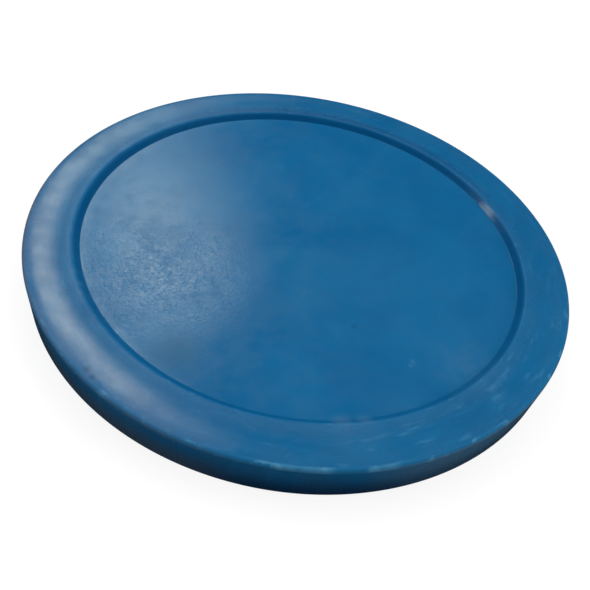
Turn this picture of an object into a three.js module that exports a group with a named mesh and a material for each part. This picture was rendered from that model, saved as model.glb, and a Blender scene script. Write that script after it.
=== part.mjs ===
// A puck for an air-hockey table: one injection-moulded plastic disc with a raised rim round a shallow
// flat panel. Both faces have the same rim and panel, and the side wall tapers towards the lower one.
//
// Millimetres, +Z up. The origin is the centre of the plane that the lower rim rests on.

import * as THREE from 'three';

// Overall size: 3 1/4 in across and 1/4 in thick
const puckDiameter = 82.55;
const puckThickness = 6.35;

// The flat panel inside the rim, below the land, and the slope that climbs from it to the rim
const panelDiameter = 67;
const panelDepth = 1.15;
const stepSlope = THREE.MathUtils.degToRad(39);
const stepCrestRadius = 0.45;

// The rim's surface is slightly dished: level at first, steepest here, then level again at the land
const dishInnerDiameter = 71.6;
const dishSteepestDiameter = 78.8;
const dishSlope = THREE.MathUtils.degToRad(6);

// The land is the narrow flat ring that the puck rides on, and the edge rounds off outside it
const landInnerDiameter = 80.9;
const edgeRadius = 0.6;

// The side wall's draft, which lets the puck leave its mould: it is widest just under the upper edge
const sideDraft = THREE.MathUtils.degToRad(3.25);

// How finely the round surfaces are divided
const turnSegments = 80;
const arcDivisions = 2;

const quarterTurn = Math.PI / 2;
const landHeight = puckThickness / 2;
const edgeCentreHeight = landHeight - edgeRadius;

/**
 * The outline of one face, from the axis out and round its edge to where the side wall starts. Its x
 * is the distance from the axis, and its y the height above the puck's middle plane. The face is
 * smaller all round by the inset, and the edge ends at the wall's angle.
 */
function faceOutline(inset, wallAngle) {
  const panelRadius = panelDiameter / 2 - inset;
  const dishInnerRadius = dishInnerDiameter / 2 - inset;
  const dishSteepestRadius = dishSteepestDiameter / 2 - inset;
  const landInnerRadius = landInnerDiameter / 2 - inset;
  const edgeCentreRadius = puckDiameter / 2 - edgeRadius - inset;

  // A hollow arc climbs from the rim's inner edge, and a crowned arc levels it off at the land
  const hollowArcRadius = (dishSteepestRadius - dishInnerRadius) / Math.sin(dishSlope);
  const crownArcRadius = (landInnerRadius - dishSteepestRadius) / Math.sin(dishSlope);
  const dishDepth = (hollowArcRadius + crownArcRadius) * (1 - Math.cos(dishSlope));

  const panelHeight = landHeight - panelDepth;
  const rimInnerHeight = landHeight - dishDepth;

  // Where the slope would meet the rim if its crest were sharp, and how far the rounding sets it back
  const crestCorner = panelRadius + (rimInnerHeight - panelHeight) / Math.tan(stepSlope);
  const crestSetback = stepCrestRadius * Math.tan(stepSlope / 2);

  const outline = new THREE.Path();
  outline.moveTo(0, panelHeight);
  outline.lineTo(panelRadius, panelHeight);
  outline.absarc(
    crestCorner + crestSetback, rimInnerHeight - stepCrestRadius,
    stepCrestRadius, quarterTurn + stepSlope, quarterTurn, true,
  );
  outline.absarc(
    dishInnerRadius, rimInnerHeight + hollowArcRadius,
    hollowArcRadius, -quarterTurn, dishSlope - quarterTurn, false,
  );
  outline.absarc(
    landInnerRadius, landHeight - crownArcRadius,
    crownArcRadius, quarterTurn + dishSlope, quarterTurn, true,
  );
  outline.absarc(
    edgeCentreRadius, edgeCentreHeight,
    edgeRadius, quarterTurn, wallAngle, true,
  );
  return outline.getPoints(arcDivisions);
}

/** The whole section, from the axis on the lower panel round to the axis on the upper panel. */
function puckSection() {
  const draftInset = 2 * edgeCentreHeight * Math.tan(sideDraft);
  const upper = faceOutline(0, -sideDraft);
  const lower = faceOutline(draftInset, sideDraft).map((point) => new THREE.Vector2(point.x, -point.y));
  return [...lower, ...upper.reverse()];
}

/** Turns the section round +Z and stands the puck on its lower rim. */
function puckGeometry() {
  const geometry = new THREE.LatheGeometry(puckSection(), turnSegments);
  geometry.rotateX(quarterTurn);
  geometry.translate(0, 0, puckThickness / 2);
  return geometry;
}

const bluePlastic = new THREE.MeshStandardMaterial({
  color: 0x1c6296,
  roughness: 0.45,
  metalness: 0,
});

const puckBody = new THREE.Mesh(puckGeometry(), bluePlastic);
puckBody.name = 'puck_body';

const puck = new THREE.Group();
puck.add(puckBody);

export default puck;
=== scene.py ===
"""A worn blue air-hockey puck lying on a pale floor in soft light.

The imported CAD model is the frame. One finely divided moulding stands for its node puck_body, with the
same dimensions plus the small fillet at the step's foot that the CAD leaves out.
"""

import math

import bpy
from mathutils import Matrix, Quaternion, Vector


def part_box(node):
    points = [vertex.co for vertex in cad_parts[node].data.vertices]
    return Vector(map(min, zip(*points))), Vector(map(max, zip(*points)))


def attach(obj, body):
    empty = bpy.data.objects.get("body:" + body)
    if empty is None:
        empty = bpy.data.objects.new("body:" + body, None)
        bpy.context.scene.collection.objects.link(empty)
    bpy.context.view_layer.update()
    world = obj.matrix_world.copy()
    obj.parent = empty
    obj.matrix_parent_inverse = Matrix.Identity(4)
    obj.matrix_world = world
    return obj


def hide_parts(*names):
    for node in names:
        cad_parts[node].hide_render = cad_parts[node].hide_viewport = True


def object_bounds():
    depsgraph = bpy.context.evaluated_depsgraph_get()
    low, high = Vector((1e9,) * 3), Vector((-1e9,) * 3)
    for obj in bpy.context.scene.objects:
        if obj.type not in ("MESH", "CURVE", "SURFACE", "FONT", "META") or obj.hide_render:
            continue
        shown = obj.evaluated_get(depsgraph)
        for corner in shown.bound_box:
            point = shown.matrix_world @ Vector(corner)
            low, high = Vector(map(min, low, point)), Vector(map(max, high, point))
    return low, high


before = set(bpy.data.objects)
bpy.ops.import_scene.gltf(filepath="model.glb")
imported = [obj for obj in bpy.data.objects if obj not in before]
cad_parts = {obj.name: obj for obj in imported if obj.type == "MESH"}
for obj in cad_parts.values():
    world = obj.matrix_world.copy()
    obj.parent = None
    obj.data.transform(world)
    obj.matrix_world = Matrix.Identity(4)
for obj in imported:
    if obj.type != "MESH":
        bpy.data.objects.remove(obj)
cad_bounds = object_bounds()

MM = 0.001
MICRON = 0.001 * MM

# ---------------------------------------------------------------- dimensions, millimetres

body_low, body_high = (Vector(corner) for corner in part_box("puck_body"))
PUCK_RADIUS = (body_high.x - body_low.x) / 2 / MM
HALF_THICKNESS = (body_high.z - body_low.z) / 2 / MM
MIDDLE = (body_low + body_high) / 2

PANEL_RADIUS = 33.5
PANEL_DEPTH = 1.15
STEP_SLOPE = math.radians(39)
STEP_FOOT_RADIUS = 0.15
STEP_CREST_RADIUS = 0.45
DISH_INNER_RADIUS = 35.8
DISH_STEEPEST_RADIUS = 39.4
DISH_SLOPE = math.radians(6)
LAND_INNER_RADIUS = 40.45
EDGE_RADIUS = 0.6
SIDE_DRAFT = math.radians(3.25)

EDGE_CENTRE_Z = HALF_THICKNESS - EDGE_RADIUS

# About where the step's slope meets the rim
BROW_RADIUS = 34.65

# How finely the moulding is divided: round the axis, down the wall, over the panel and along each arc
TURN_SEGMENTS = 480
WALL_ROWS = 10
PANEL_RINGS = (4, 10, 16, 22, 27, 30, 32)
FOOT_STEPS = 6
CREST_STEPS = 8
HOLLOW_STEPS = 10
CROWN_STEPS = 6
EDGE_STEPS = 14


# ---------------------------------------------------------------- the moulding's shape

def arc(centre_r, centre_z, radius, start, end, steps):
    """Points on an arc in the section, from one angle to another."""
    points = []
    for i in range(steps + 1):
        angle = start + (end - start) * i / steps
        points.append((centre_r + radius * math.cos(angle), centre_z + radius * math.sin(angle)))
    return points


def face_section(inset, wall_angle):
    """One face of the section, from near the axis out and round its edge to where the wall starts."""
    quarter = math.pi / 2
    panel_r = PANEL_RADIUS - inset
    dish_inner_r = DISH_INNER_RADIUS - inset
    land_inner_r = LAND_INNER_RADIUS - inset
    edge_centre_r = PUCK_RADIUS - EDGE_RADIUS - inset

    # A hollow arc climbs from the rim's inner edge, and a crowned arc levels it off at the land
    hollow = (DISH_STEEPEST_RADIUS - DISH_INNER_RADIUS) / math.sin(DISH_SLOPE)
    crown = (LAND_INNER_RADIUS - DISH_STEEPEST_RADIUS) / math.sin(DISH_SLOPE)
    dish_depth = (hollow + crown) * (1 - math.cos(DISH_SLOPE))
    panel_z = HALF_THICKNESS - PANEL_DEPTH
    shelf_z = HALF_THICKNESS - dish_depth

    # Where the slope would meet the rim if it were sharp, and how far each rounding sets its arc back
    crest_corner = panel_r + (shelf_z - panel_z) / math.tan(STEP_SLOPE)
    foot_setback = STEP_FOOT_RADIUS * math.tan(STEP_SLOPE / 2)
    crest_setback = STEP_CREST_RADIUS * math.tan(STEP_SLOPE / 2)

    points = [(r, panel_z) for r in PANEL_RINGS]
    points += arc(panel_r - foot_setback, panel_z + STEP_FOOT_RADIUS,
                  STEP_FOOT_RADIUS, -quarter, STEP_SLOPE - quarter, FOOT_STEPS)
    points += arc(crest_corner + crest_setback, shelf_z - STEP_CREST_RADIUS,
                  STEP_CREST_RADIUS, quarter + STEP_SLOPE, quarter, CREST_STEPS)
    points += arc(dish_inner_r, shelf_z + hollow,
                  hollow, -quarter, DISH_SLOPE - quarter, HOLLOW_STEPS)
    points += arc(land_inner_r, HALF_THICKNESS - crown,
                  crown, quarter + DISH_SLOPE, quarter, CROWN_STEPS)[1:]
    points += arc(edge_centre_r, EDGE_CENTRE_Z,
                  EDGE_RADIUS, quarter, wall_angle, EDGE_STEPS)
    return points


def puck_section():
    """The whole section, from near the axis on the upper panel round to near it on the lower one."""
    draft_inset = 2 * EDGE_CENTRE_Z * math.tan(SIDE_DRAFT)
    upper = face_section(0, -SIDE_DRAFT)
    lower = [(r, -z) for r, z in reversed(face_section(draft_inset, SIDE_DRAFT))]
    (top_r, top_z), (bottom_r, bottom_z) = upper[-1], lower[0]
    wall = []
    for i in range(1, WALL_ROWS):
        wall.append((top_r + (bottom_r - top_r) * i / WALL_ROWS,
                     top_z + (bottom_z - top_z) * i / WALL_ROWS))
    return upper + wall + lower


def moulding():
    """Turns the section round the axis into one closed mesh, in metres."""
    section = puck_section()
    vertices = [Vector((0, 0, section[0][1]))]
    for r, z in section:
        for i in range(TURN_SEGMENTS):
            turn = math.tau * i / TURN_SEGMENTS
            vertices.append(Vector((r * math.cos(turn), r * math.sin(turn), z)))
    vertices.append(Vector((0, 0, section[-1][1])))

    def ring(row, i):
        return 1 + row * TURN_SEGMENTS + i % TURN_SEGMENTS

    last_row = len(section) - 1
    faces = []
    for i in range(TURN_SEGMENTS):
        faces.append((0, ring(0, i), ring(0, i + 1)))
        for row in range(last_row):
            faces.append((ring(row, i), ring(row + 1, i), ring(row + 1, i + 1), ring(row, i + 1)))
        faces.append((ring(last_row, i), len(vertices) - 1, ring(last_row, i + 1)))

    mesh = bpy.data.meshes.new("puck_moulding")
    mesh.from_pydata([MIDDLE + v * MM for v in vertices], [], faces)
    mesh.validate()
    mesh.shade_smooth()
    piece = bpy.data.objects.new("puck_moulding", mesh)
    bpy.context.scene.collection.objects.link(piece)
    return piece


# ---------------------------------------------------------------- shader node helpers

class Graph:
    """Short ways to add nodes to one node tree. Values are sockets or constants."""

    def __init__(self, tree):
        self.tree = tree
        tree.nodes.clear()

    def add(self, kind, **settings):
        node = self.tree.nodes.new(kind)
        for name, value in settings.items():
            setattr(node, name, value)
        return node

    def feed(self, socket, value):
        """Links or sets a node's input. None leaves it as it is."""
        if isinstance(value, bpy.types.NodeSocket):
            self.tree.links.new(value, socket)
        elif value is not None:
            socket.default_value = value

    def close(self, kind, surface):
        """Ends the tree in its output node."""
        self.feed(self.add(kind).inputs["Surface"], surface)

    def math(self, operation, *values):
        node = self.add("ShaderNodeMath", operation=operation)
        for socket, value in zip(node.inputs, values):
            self.feed(socket, value)
        return node.outputs[0]

    def product(self, first, *others):
        for value in others:
            first = self.math("MULTIPLY", first, value)
        return first

    def largest(self, first, *others):
        for value in others:
            first = self.math("MAXIMUM", first, value)
        return first

    def length(self, x, y):
        return self.math("SQRT", self.math("ADD", self.product(x, x), self.product(y, y)))

    def combine(self, x, y, z):
        node = self.add("ShaderNodeCombineXYZ")
        for socket, value in zip(node.inputs, (x, y, z)):
            self.feed(socket, value)
        return node.outputs[0]

    def separate(self, vector):
        node = self.add("ShaderNodeSeparateXYZ")
        self.feed(node.inputs[0], vector)
        return node.outputs

    def subtract(self, vector, other):
        node = self.add("ShaderNodeVectorMath", operation="SUBTRACT")
        self.feed(node.inputs[0], vector)
        self.feed(node.inputs[1], other)
        return node.outputs["Vector"]

    def scale(self, vector, factor):
        node = self.add("ShaderNodeVectorMath", operation="SCALE")
        self.feed(node.inputs[0], vector)
        self.feed(node.inputs["Scale"], factor)
        return node.outputs["Vector"]

    def dot(self, vector, other):
        node = self.add("ShaderNodeVectorMath", operation="DOT_PRODUCT")
        self.feed(node.inputs[0], vector)
        self.feed(node.inputs[1], other)
        return node.outputs["Value"]

    def noise(self, vector, scale, detail, roughness=0.5):
        node = self.add("ShaderNodeTexNoise", noise_dimensions="3D")
        self.feed(node.inputs["Vector"], vector)
        self.feed(node.inputs["Scale"], scale)
        self.feed(node.inputs["Detail"], detail)
        self.feed(node.inputs["Roughness"], roughness)
        return node.outputs["Fac"]

    def fade(self, value, start, end, low=0.0, high=1.0):
        """low where value is at start or before it, high at end or past it, and smooth between."""
        node = self.add("ShaderNodeMapRange", interpolation_type="SMOOTHSTEP")
        for name, given in (("Value", value), ("From Min", start), ("From Max", end),
                            ("To Min", low), ("To Max", high)):
            self.feed(node.inputs[name], given)
        return node.outputs[0]

    def band(self, value, start, full, still_full, end):
        """1 from full to still_full, fading out to 0 at start and at end."""
        return self.product(self.fade(value, start, full), self.fade(value, end, still_full))

    def mix(self, factor, first, second):
        """The first colour where the factor is 0, and the second where it is 1."""
        node = self.add("ShaderNodeMix", data_type="RGBA", blend_type="MIX")
        self.feed(node.inputs["Factor"], factor)
        self.feed(node.inputs[6], first)
        self.feed(node.inputs[7], second)
        return node.outputs[2]

    def coat(self, under, colour, *amounts):
        """Lays a colour over another, as thickly as the product of the amounts."""
        return self.mix(self.product(*amounts), under, colour)

    def bump(self, height, depth, normal):
        """A bump whose height runs from 0 to 1 over the given depth in metres, on top of a normal."""
        node = self.add("ShaderNodeBump")
        self.feed(node.inputs["Strength"], 1.0)
        self.feed(node.inputs["Distance"], depth)
        self.feed(node.inputs["Height"], height)
        self.feed(node.inputs["Normal"], normal)
        return node.outputs[0]


# ---------------------------------------------------------------- the worn blue plastic

# Linear colours of the plastic and of the wear on its faces, and of painted shade, highlights and a dark
# reflection
DEEP_BLUE = (0.003, 0.103, 0.258, 1)
PALE_BLUE = (0.006, 0.119, 0.281, 1)
MOTTLED_BLUE = (0.001, 0.080, 0.200, 1)
RIM_BLUE = (0.003, 0.085, 0.210, 1)
# Painted shade in the step, darker on the far side
STEP_SHADE_BLUE = (0.001, 0.058, 0.170, 1)
SCUFFED_BLUE = (0.010, 0.160, 0.335, 1)
SCRATCHED_BLUE = (0.030, 0.190, 0.370, 1)
DRAGGED_BLUE = (0.045, 0.205, 0.390, 1)
# Painted dark reflection in the panel's highlight
DARK_REFLECTION_BLUE = (0.002, 0.080, 0.180, 1)
BROW_CHIP_BLUE = (0.060, 0.220, 0.380, 1)
# Partly rubbed wear, partly a painted highlight on the near-left rim
RUBBED_GREY_AND_HIGHLIGHT = (0.400, 0.375, 0.430, 1)
SMEARED_GREY = (0.270, 0.330, 0.430, 1)
# Partly sanded wear, partly a painted highlight in the panel
SANDED_GREY_AND_HIGHLIGHT = (0.285, 0.370, 0.440, 1)
DARK_NICK_BLUE = (0.004, 0.045, 0.100, 1)
LIGHT_NICK_BLUE = (0.200, 0.330, 0.450, 1)

# Linear colours of the wear and dirt on its edges and its side wall, and of painted light, shade and
# reflection there
# Partly knocks, partly painted light on the near edge
KNOCKED_AND_LIT_BLUE = (0.020, 0.200, 0.400, 1)
EDGE_CHIP_BLUE = (0.110, 0.330, 0.520, 1)
# Painted grey shade and reflection along the far-left edge
EDGE_SHADE_GREY = (0.130, 0.120, 0.110, 1)
# Painted shade, darkening the wall towards the bottom
WALL_SHADE_BLUE = (0.001, 0.022, 0.070, 1)
WALL_DUST = (0.080, 0.130, 0.170, 1)
WALL_GRIME = (0.035, 0.050, 0.070, 1)
# Partly scrapes, partly a painted reflection on the near-right wall
WALL_SCRAPE_AND_REFLECTION = (0.080, 0.150, 0.215, 1)

# The sides where some of the wear and the painted light and shade lie, as turns in radians from +X towards +Y
FAR_SIDE = 1.45
SHADED_EDGE_SIDE = 2.5
RUBBED_AND_HIGHLIT_SIDE = 3.75
DUSTY_SIDE = -2.15
KNOCKED_AND_LIT_SIDE = -1.3
DRAGGED_SIDE = -0.87
SCRAPED_AND_REFLECTING_SIDE = -0.82

# Spots on the upper half: x, y, and the distances at which each starts to fade and has gone
SANDED_AND_HIGHLIT_SPOT = (-19.8, -12.0, 1.0, 18.5)
SMUDGE_AND_REFLECTION_SPOT = (-13.3, -27.0, 0.8, 4.6)
SMEARED_SPOTS = ((10.5, -34.6, 0.5, 4.5), (25.0, -20.0, 1.0, 7.0))
DARK_NICKS = ((-22.9, -32.8, 0.12, 0.8), (-22.0, -33.9, 0.09, 0.6), (9.1, -16.3, 0.075, 0.5))
LIGHT_NICKS = ((-28.9, -18.8, 0.105, 0.7), (17.5, -20.6, 0.09, 0.6), (17.2, -21.4, 0.075, 0.5),
               (8.8, -32.8, 0.285, 1.9), (11.6, -31.9, 0.225, 1.5))
EDGE_CHIPS = ((6.2, -40.8, 0.48, 3.2), (3.0, -41.2, 0.33, 2.2), (14.9, -38.4, 0.27, 1.8))

# Three sets of hairlines: their direction in radians, where they start in the noise, how long and how
# far apart they are, and how much of the noise's range each takes up
HAIRLINES = ((0.95, 1.0, 26.0, 1.6, 0.020), (0.55, 4.0, 22.0, 1.9, 0.016), (2.3, 9.0, 18.0, 2.4, 0.014))

# The hairlines come in patches: how long and how far apart, and how far on in the noise
HAIRLINE_PATCH = (9.0, 4.0)
PATCH_SHIFT = 7.0

GLOSSY_ROUGHNESS = 0.08
HAZY_ROUGHNESS = 0.205
PLASTIC_IOR = 1.5
PLASTIC_SPECULAR = 0.18


class PlasticGraph(Graph):
    """
    The plastic's node tree. Its distances are in millimetres, and a noise's scale is per millimetre.
    Regions and marks are 1 where they lie, 0 elsewhere and smooth between.
    """

    def __init__(self, tree):
        super().__init__(tree)
        self.find_place()
        self.find_regions()
        self.make_patterns()

    def find_place(self):
        """The shaded place about the puck's middle, and also as a turn, a radius and a height."""
        place = self.add("ShaderNodeTexCoord").outputs["Object"]
        self.mm = self.scale(self.subtract(place, MIDDLE), 1 / MM)
        self.x, self.y, self.z = self.separate(self.mm)
        from_axis = self.length(self.x, self.y)
        divisor = self.math("MAXIMUM", from_axis, 0.01)
        self.cos_turn = self.math("DIVIDE", self.x, divisor)
        self.sin_turn = self.math("DIVIDE", self.y, divisor)
        self.height = self.math("ABSOLUTE", self.z)

        # The draft makes the lower face smaller: this radius is the same at like places on both faces
        below_edge = self.math("MAXIMUM", self.math("SUBTRACT", EDGE_CENTRE_Z, self.z), 0.0)
        self.radius = self.math("ADD", from_axis, self.product(below_edge, math.tan(SIDE_DRAFT)))

    def ring(self, middle, start, full, still_full, end):
        """A band round the axis, given by distances out from a middle radius."""
        return self.band(self.radius, middle + start, middle + full, middle + still_full, middle + end)

    def outside(self, middle, start, full, low=0.0, high=1.0):
        """What lies outside a radius: high there and low inside it, between two distances out from it."""
        return self.fade(self.radius, middle + start, middle + full, low, high)

    def above(self, start, full):
        """What lies close to the planes of the lands, fading in between two depths below them."""
        return self.fade(self.height, HALF_THICKNESS - start, HALF_THICKNESS - full)

    def find_regions(self):
        """Regions of the moulding, from the step outwards, and its two halves."""
        self.on_slope = self.product(self.outside(PANEL_RADIUS, -0.1, 0.2),
                                     self.outside(BROW_RADIUS, -0.05, -0.55))
        self.on_brow = self.ring(BROW_RADIUS, -0.25, -0.13, 0.13, 0.25)
        self.shaded_brow = self.ring(BROW_RADIUS, -0.25, 0.25, 0.55, 2.25)
        self.dusty_brow = self.ring(BROW_RADIUS, -0.15, 0.25, 0.75, 3.15)
        self.on_rim = self.outside(BROW_RADIUS, 0.05, 0.85)
        self.outer_rim = self.product(self.outside(LAND_INNER_RADIUS, -2.25, -0.85), self.above(0.675, 0.275))
        self.on_edge = self.product(self.outside(LAND_INNER_RADIUS, 0.20, 0.50), self.above(0.725, 0.425))
        self.on_wall = self.outside(PUCK_RADIUS, -0.20, -0.06)
        self.upper_half = self.fade(self.z, -2.0, 2.0)
        self.lower_half = self.fade(self.z, 2.0, -2.0)

    def towards(self, turn):
        """How far the place lies from the axis towards this turn."""
        return self.math("ADD", self.product(self.x, math.cos(turn)), self.product(self.y, math.sin(turn)))

    def beside(self, side, start, end):
        """The side of the puck at this turn, fading in between two distances from the axis."""
        return self.fade(self.towards(side), start, end)

    def near(self, *spots):
        """Round spots on the upper half."""
        together = 0.0
        for spot_x, spot_y, inner, outer in spots:
            away = self.length(self.math("SUBTRACT", self.x, spot_x), self.math("SUBTRACT", self.y, spot_y))
            together = self.largest(together, self.fade(away, outer, inner))
        return self.product(together, self.upper_half)

    def along_rim(self, around, across, shift):
        """A noise whose marks run round the puck: larger factors make them shorter and narrower."""
        place = self.combine(self.product(self.cos_turn, around), self.product(self.sin_turn, around),
                             self.math("ADD", self.product(self.radius, across), shift))
        return self.noise(place, 1.0, 3.0, 0.6)

    def hairlines(self, turn, shift, length, gap, width):
        """Sparse thin scratches along one direction, in patches."""
        along, across = self.towards(turn), self.towards(turn + math.pi / 2)

        def stretched(long, wide, start):
            place = self.combine(self.math("DIVIDE", along, long), self.math("DIVIDE", across, wide), start)
            return self.noise(place, 1.0, 1.0)

        off_line = self.math("ABSOLUTE", self.math("SUBTRACT", stretched(length, gap, shift), 0.5))
        patches = stretched(*HAIRLINE_PATCH, shift + PATCH_SHIFT)
        return self.product(self.fade(off_line, width, 0.0), self.fade(patches, 0.52, 0.66))

    def make_patterns(self):
        """Noises from cloudiness to grain, marks round the rim, and single worn places with painted highlight
        and dark reflection.
        """
        self.cloud = self.noise(self.mm, 0.07, 3.0, 0.55)
        self.haze = self.noise(self.mm, 0.22, 4.0, 0.6)
        self.rub_and_highlight = self.noise(self.mm, 0.30, 4.0, 0.65)
        self.mottle = self.noise(self.mm, 0.5, 3.0, 0.6)
        self.grain = self.noise(self.mm, 3.0, 2.0, 0.75)
        self.streak = self.along_rim(10.0, 1.5, 0.0)
        self.dash = self.along_rim(7.0, 0.9, 5.0)
        self.chip = self.along_rim(15.0, 0.8, 9.0)
        self.scratch = self.largest(*(self.hairlines(*lines) for lines in HAIRLINES))

        patchy = self.fade(self.noise(self.mm, 0.35, 3.0, 0.6), 0.36, 0.60, 0.55, 1.0)
        sanded_and_highlit = self.product(self.near(SANDED_AND_HIGHLIT_SPOT), self.math("SUBTRACT", 1.0, self.on_rim), patchy)
        self.sand_and_highlight = self.product(self.fade(self.noise(self.mm, 0.8, 3.0, 0.7), 0.40, 0.64), sanded_and_highlit)
        self.pits = self.product(self.fade(self.noise(self.mm, 1.7, 2.0, 0.75), 0.42, 0.62), sanded_and_highlit)
        self.smudge_and_dark_reflection = self.near(SMUDGE_AND_REFLECTION_SPOT)
        self.smears = self.product(self.near(*SMEARED_SPOTS), self.fade(self.mottle, 0.35, 0.60, 0.3, 1.0))

    def face_colour(self):
        """The moulded blue, the wear on the panel, step and rim, and painted shade, highlights and a dark
        reflection.
        """
        body = self.mix(self.fade(self.cloud, 0.35, 0.65), DEEP_BLUE, PALE_BLUE)
        body = self.coat(body, MOTTLED_BLUE, 0.14, self.fade(self.mottle, 0.45, 0.70))
        body = self.coat(body, RIM_BLUE, 0.25, self.on_rim)
        body = self.coat(body, SCUFFED_BLUE, 0.30, self.on_rim, self.fade(self.streak, 0.5, 0.72))
        body = self.coat(body, DRAGGED_BLUE, 0.40, self.on_rim, self.beside(DRAGGED_SIDE, 12.0, 30.0),
                         self.fade(self.dash, 0.56, 0.72))

        # The rubbing, partly wear and partly a painted highlight, fades in across the dish, weakens towards
        # the edge and spares the wall
        body = self.coat(body, RUBBED_GREY_AND_HIGHLIGHT, 0.20, self.beside(RUBBED_AND_HIGHLIT_SIDE, 24.0, 36.5),
                         self.fade(self.rub_and_highlight, 0.32, 0.68, 0.50, 1.0),
                         self.outside(DISH_INNER_RADIUS, 0.2, 2.4), self.above(1.275, 0.675),
                         self.outside(LAND_INNER_RADIUS, -1.75, 0.15, 1.0, 0.65))
        body = self.coat(body, SMEARED_GREY, 0.045, self.smears)
        # A painted dark reflection over the rougher smudge
        body = self.coat(body, DARK_REFLECTION_BLUE, 0.42, self.smudge_and_dark_reflection)
        body = self.coat(body, BROW_CHIP_BLUE, 0.35, self.on_brow, self.fade(self.chip, 0.60, 0.68))
        # Partly sanded wear, partly a painted highlight on the panel
        body = self.coat(body, SANDED_GREY_AND_HIGHLIGHT, 0.17, self.sand_and_highlight)
        body = self.coat(body, SCRATCHED_BLUE, 0.06, self.scratch)

        # Painted shade in the step, darkest on the far side, where the painted shade spreads over the brow
        body = self.coat(body, STEP_SHADE_BLUE, self.on_slope, self.fade(self.y, 0.0, -30.0, 0.9, 0.5))
        return self.coat(body, STEP_SHADE_BLUE, 0.50, self.shaded_brow, self.beside(FAR_SIDE, 12.0, 34.0))

    def edge_colour(self, body):
        """Nicks, and the knocks, chips, painted light and painted shade on the edges."""
        # Knocks on the near edge, partly painted light there
        knocked_and_lit = self.product(self.on_edge, self.beside(KNOCKED_AND_LIT_SIDE, 0.0, 30.0))
        body = self.coat(body, KNOCKED_AND_LIT_BLUE, 0.25, knocked_and_lit)
        body = self.coat(body, DARK_NICK_BLUE, 0.45, self.near(*DARK_NICKS))
        body = self.coat(body, LIGHT_NICK_BLUE, 0.10, self.near(*LIGHT_NICKS))
        body = self.coat(body, EDGE_CHIP_BLUE, 0.30, self.on_edge, self.near(*EDGE_CHIPS))
        # Painted grey shade and reflection along the far-left edge
        body = self.coat(body, EDGE_SHADE_GREY, 0.45, self.on_edge, self.beside(SHADED_EDGE_SIDE, 0.0, 30.0))
        return self.coat(body, EDGE_CHIP_BLUE, 0.5, knocked_and_lit, self.fade(self.chip, 0.54, 0.66))

    def wall_colour(self, body):
        """The side wall has painted shade that darkens it downwards, dust and grime, and one scraped stretch
        with a painted reflection.
        """
        # Painted shade, darkening the wall downwards
        body = self.coat(body, WALL_SHADE_BLUE, 0.95, self.on_wall, self.fade(self.z, 2.4, -2.6))
        body = self.coat(body, WALL_DUST, 0.40, self.on_wall, self.beside(DUSTY_SIDE, 34.0, 40.0),
                         self.lower_half)
        body = self.coat(body, WALL_GRIME, 0.12, self.on_wall, self.fade(self.haze, 0.35, 0.65))
        # Partly scrapes, partly a painted reflection on the near-right wall
        return self.coat(body, WALL_SCRAPE_AND_REFLECTION, 0.5, self.on_wall, self.beside(SCRAPED_AND_REFLECTING_SIDE, 36.5, 41.0),
                         self.fade(self.z, -2.4, 1.6, 0.5, 1.0))

    def roughness(self):
        """Glossy plastic, dulled by haze and wear, and most of all on the brow and the edges."""
        roughness = self.fade(self.haze, 0.3, 0.7, GLOSSY_ROUGHNESS, HAZY_ROUGHNESS)
        for amount, where in ((0.04, self.fade(self.mottle, 0.35, 0.65)), (0.05, self.scratch),
                              (0.07, self.smudge_and_dark_reflection), (0.15, self.dusty_brow), (0.07, self.outer_rim),
                              (0.30, self.on_brow), (0.20, self.on_edge), (0.10, self.on_wall),
                              (-0.05, self.on_slope)):
            roughness = self.math("ADD", roughness, self.product(where, amount))
        return roughness

    def relief(self):
        """The surface's fine relief, in microns. What has a negative depth is sunk."""
        normal = None
        for depth, height in ((12.0, self.grain), (-15.0, self.pits), (6.0, self.mottle),
                              (4.0, self.product(self.streak, self.on_rim)), (-1.5, self.scratch)):
            normal = self.bump(height, depth * MICRON, normal)
        return normal


def worn_plastic():
    material = bpy.data.materials.new("worn_blue_plastic")
    material.use_nodes = True
    g = PlasticGraph(material.node_tree)
    shader = g.add("ShaderNodeBsdfPrincipled")
    g.feed(shader.inputs["Base Color"], g.wall_colour(g.edge_colour(g.face_colour())))
    g.feed(shader.inputs["Roughness"], g.roughness())
    g.feed(shader.inputs["Normal"], g.relief())
    shader.inputs["IOR"].default_value = PLASTIC_IOR
    shader.inputs["Specular IOR Level"].default_value = PLASTIC_SPECULAR
    g.close("ShaderNodeOutputMaterial", shader.outputs[0])
    return material


puck = moulding()
puck.data.materials.append(worn_plastic())
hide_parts("puck_body")
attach(puck, "root")


# ---------------------------------------------------------------- floor and surroundings

FLOOR_HALF = 2.0

# How brightly the floor throws light back to the camera, in the gloss and as soft light
FLOOR_SEEN = (0.16, 0.16, 0.16, 1)
FLOOR_MIRRORED = (0.03, 0.03, 0.03, 1)
FLOOR_BOUNCED = (0.30, 0.30, 0.30, 1)
FLOOR_GLOW = 0.87

BACKDROP_SEEN = (0.9, 0.9, 0.9, 1)
BACKDROP_DIM = (0.04, 0.04, 0.04, 1)


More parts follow.
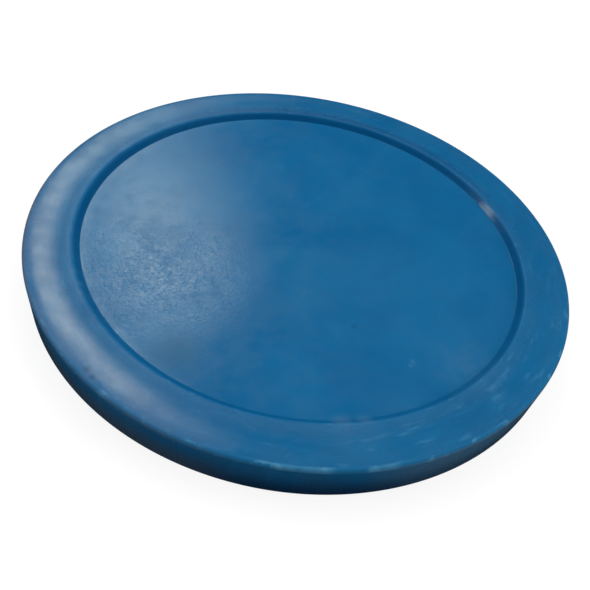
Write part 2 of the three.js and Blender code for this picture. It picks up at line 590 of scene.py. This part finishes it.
def floor_material():
    """A dull sheet that glows to the camera only, which makes it look pale and its shadows faint."""
    material = bpy.data.materials.new("pale_floor")
    material.use_nodes = True
    g = Graph(material.node_tree)
    path = g.add("ShaderNodeLightPath").outputs
    shade = g.mix(path["Is Diffuse Ray"], FLOOR_MIRRORED, FLOOR_BOUNCED)
    shade = g.mix(path["Is Camera Ray"], shade, FLOOR_SEEN)
    sheet = g.add("ShaderNodeBsdfDiffuse")
    g.feed(sheet.inputs["Color"], shade)
    glow = g.add("ShaderNodeEmission")
    g.feed(glow.inputs["Strength"], g.product(path["Is Camera Ray"], FLOOR_GLOW))
    surface = g.add("ShaderNodeAddShader")
    g.feed(surface.inputs[0], sheet.outputs[0])
    g.feed(surface.inputs[1], glow.outputs[0])
    g.close("ShaderNodeOutputMaterial", surface.outputs[0])
    return material


def pale_floor():
    """A wide flat sheet that the puck lies on."""
    half = FLOOR_HALF
    mesh = bpy.data.meshes.new("floor")
    mesh.from_pydata([(-half, -half, 0), (half, -half, 0), (half, half, 0), (-half, half, 0)], [],
                     [(0, 1, 2, 3)])
    mesh.materials.append(floor_material())
    floor = bpy.data.objects.new("floor", mesh)
    floor.location.z = cad_bounds[0][2]
    bpy.context.scene.collection.objects.link(floor)
    return floor


pale_floor()


def surroundings():
    """A pale backdrop for the camera, and dim surroundings for everything else."""
    world = bpy.data.worlds.new("surroundings")
    world.use_nodes = True
    g = Graph(world.node_tree)
    seen = g.add("ShaderNodeLightPath").outputs["Is Camera Ray"]
    background = g.add("ShaderNodeBackground")
    g.feed(background.inputs["Color"], g.mix(seen, BACKDROP_DIM, BACKDROP_SEEN))
    g.close("ShaderNodeOutputWorld", background.outputs[0])
    bpy.context.scene.world = world


surroundings()


# ---------------------------------------------------------------- lights

def direction(azimuth, elevation):
    """A unit vector: azimuth turns from +Y towards +X, elevation rises from the floor. Degrees."""
    a, e = math.radians(azimuth), math.radians(elevation)
    return Vector((math.sin(a) * math.cos(e), math.cos(a) * math.cos(e), math.sin(e)))


def softbox(name, azimuth, elevation, wide, high, radiance, distance=1.2, lean=0, tint=(1, 1, 1),
            mirrored=True):
    """
    A rectangular light facing the puck. wide and high are the angles it fills, in degrees. A light
    that isn't mirrored is like a polarised one: it brightens the plastic but leaves no highlight.
    """
    data = bpy.data.lights.new(name, "AREA")
    data.shape = "RECTANGLE"
    data.size = 2 * distance * math.tan(math.radians(wide / 2))
    data.size_y = 2 * distance * math.tan(math.radians(high / 2))
    data.energy = 4 * data.size * data.size_y * radiance
    data.color = tint
    lamp = bpy.data.objects.new(name, data)
    towards = direction(azimuth, elevation)
    lamp.location = MIDDLE + towards * distance
    leaning = Quaternion((0, 0, 1), math.radians(lean))
    lamp.rotation_euler = (towards.to_track_quat("Z", "Y") @ leaning).to_euler()
    lamp.visible_camera = False
    lamp.visible_glossy = mirrored
    bpy.context.scene.collection.objects.link(lamp)
    return lamp


def fade_sides(lamp, right, left, bottom, top):
    """Dims a softbox towards its sides, over the given shares of its half size, as a curtain does."""
    data = lamp.data
    data.use_nodes = True
    g = Graph(data.node_tree)
    turn = lamp.rotation_euler.to_matrix()
    offset = g.subtract(g.add("ShaderNodeNewGeometry").outputs["Position"], lamp.location)
    across = g.dot(offset, -turn.col[0] / (data.size / 2))
    up = g.dot(offset, turn.col[1] / (data.size_y / 2))
    strength = g.product(g.fade(across, 1, 1 - right), g.fade(across, -1, left - 1),
                         g.fade(up, -1, bottom - 1), g.fade(up, 1, 1 - top))
    emission = g.add("ShaderNodeEmission")
    g.feed(emission.inputs["Strength"], strength)
    g.close("ShaderNodeOutputLight", emission.outputs[0])


window = softbox("window", azimuth=-16.1, elevation=38.9, wide=18.0, high=23.3, radiance=13.9,
                 distance=2.6, lean=13.7, tint=(0.91, 1.0, 0.86))
fade_sides(window, right=1.47, left=0.98, bottom=1.90, top=0.40)
softbox("overhead", azimuth=0, elevation=62, wide=80, high=50, radiance=1.74, mirrored=False)
softbox("left_side", azimuth=-100, elevation=25, wide=40, high=30, radiance=2.4, mirrored=False)
softbox("right_side", azimuth=100, elevation=25, wide=40, high=30, radiance=3.2, mirrored=False)
softbox("front", azimuth=180, elevation=20, wide=60, high=24, radiance=0.8, mirrored=False)
softbox("step_glint", azimuth=-63.5, elevation=44, wide=4.5, high=4, radiance=21.0,
        distance=1.5, tint=(0.80, 1.0, 1.0))


# ---------------------------------------------------------------- camera

CAMERA_DISTANCE = 0.11528
CAMERA_ELEVATION = math.radians(42.44)
CAMERA_ROLL = math.radians(11.08)
AIM_RIGHT = math.radians(0.12)
AIM_UP = math.radians(-2.53)
LENS = 43.80
SENSOR = 36.0
CLIP_START = 0.005
CLIP_END = 50


def photographer():
    """The camera looks down at the puck from the near side, a little rolled."""
    target = Vector((MIDDLE.x, MIDDLE.y, body_low.z))
    back = Vector((0, -math.cos(CAMERA_ELEVATION), math.sin(CAMERA_ELEVATION)))
    right = Vector((1, 0, 0))
    up = back.cross(right)
    away = (-back + math.tan(AIM_RIGHT) * right + math.tan(AIM_UP) * up).normalized()
    level_x = Vector((0, 0, 1)).cross(-away).normalized()
    level_y = (-away).cross(level_x)
    local_x = math.cos(CAMERA_ROLL) * level_x + math.sin(CAMERA_ROLL) * level_y
    local_y = -math.sin(CAMERA_ROLL) * level_x + math.cos(CAMERA_ROLL) * level_y

    data = bpy.data.cameras.new("camera")
    data.lens = LENS
    data.sensor_width = SENSOR
    data.clip_start = CLIP_START
    data.clip_end = CLIP_END
    camera = bpy.data.objects.new("camera", data)
    pose = Matrix((local_x, local_y, -away)).transposed().to_4x4()
    pose.translation = target + back * CAMERA_DISTANCE
    camera.matrix_world = pose
    bpy.context.scene.collection.objects.link(camera)
    bpy.context.scene.camera = camera


photographer()
bpy.context.scene.view_settings.view_transform = "Standard"
